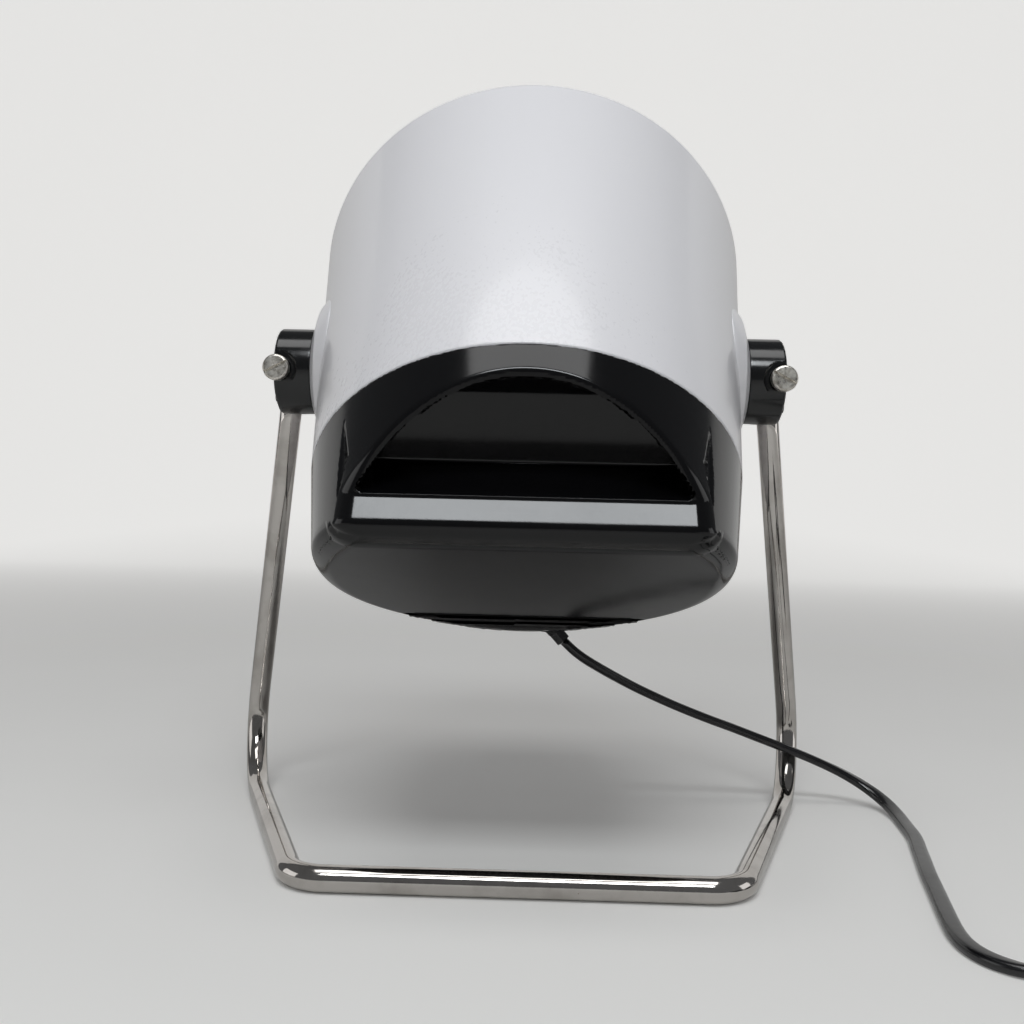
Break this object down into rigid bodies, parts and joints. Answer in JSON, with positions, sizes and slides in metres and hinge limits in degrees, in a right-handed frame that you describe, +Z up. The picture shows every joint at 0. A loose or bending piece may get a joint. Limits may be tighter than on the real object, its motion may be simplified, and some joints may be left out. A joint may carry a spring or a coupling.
{
  "type": "infrared heat lamp",
  "caption": "Table infrared heat therapy lamp: a tilting white and black head with a red reflector bulb, on a bent chrome rod stand.",
  "frame": {"origin": "centre of the lamp's outline on the table it stands on, the free cord left out", "axes": "+X to the right when looking at the rear cover, +Y towards where the beam points, +Z up"},
  "size_m": [0.347, 0.2721, 0.2656],
  "materials": {
    "white_plastic": "glossy white moulding",
    "black_gloss_plastic": "glossy black moulding",
    "black_block_plastic": "satin black moulding",
    "chrome": "bright plating",
    "zinc_steel": "zinc plated",
    "worn_nickel": "dull worn nickel",
    "aluminium_sheet": "bare sheet",
    "ceramic": "glazed ceramic, as gloss plastic",
    "brass": "bare",
    "cap_metal": "nickel plated brass or aluminium",
    "mirror_glass": "silvered glass",
    "ruby_glass": "ruby glass, finely frosted",
    "clear_glass": "clear glass",
    "black_glass": "black vitrite",
    "filament_wire": "drawn tungsten",
    "brown_insulation": "smooth",
    "blue_insulation": "smooth",
    "clamp_plastic": "moulded",
    "black_rubber": "moulded",
    "cord_sheath": "smooth sheath",
    "tie_plastic": "woven tape",
    "plug_plastic": "moulded, satin"
  },
  "bodies": {
    "stand": {"stand_rod": "chrome", "pivot_block_left": "black_block_plastic", "pivot_block_right": "black_block_plastic", "pivot_stud_left": "zinc_steel", "pivot_stud_right": "zinc_steel", "pivot_nut_left": "zinc_steel", "pivot_nut_right": "zinc_steel", "clamp_screw_left": "worn_nickel", "clamp_screw_right": "worn_nickel", "clamp_nut_left": "zinc_steel", "clamp_nut_right": "zinc_steel", "cord_stretch": "cord_sheath", "cord_coil": "cord_sheath", "coil_tie": "tie_plastic", "plug_body": "plug_plastic", "plug_pins": "cap_metal"},
    "head": {"shell": "white_plastic", "rear_cover": "black_gloss_plastic", "cover_screws": "zinc_steel", "mounting_plate": "aluminium_sheet", "plate_screws": "zinc_steel", "lampholder_body": "ceramic", "lampholder_screws": "zinc_steel", "lampholder_thread": "brass", "lampholder_contact": "brass", "terminals": "brass", "terminal_screws": "zinc_steel", "lead_live": "brown_insulation", "lead_neutral": "blue_insulation", "cord_clamp": "clamp_plastic", "cord_clamp_screws": "zinc_steel", "cord_grommet": "black_rubber", "cord_tail": "cord_sheath", "bulb_reflector": "mirror_glass", "bulb_lens": "ruby_glass", "bulb_cap": "cap_metal", "bulb_insulator": "black_glass", "bulb_contact": "cap_metal", "bulb_stem": "clear_glass", "bulb_filament": "filament_wire", "pivot_bush_left": "brass", "pivot_bush_right": "brass", "spring_washer_left": "zinc_steel", "spring_washer_right": "zinc_steel"}
  },
  "joints": [
    {"name": "head_tilt", "type": "hinge", "parent": "stand", "child": "head", "pos_m": [0, 0.0074, 0.1634], "axis": [1, 0, 0], "range_deg": [-65, 40]}
  ]
}
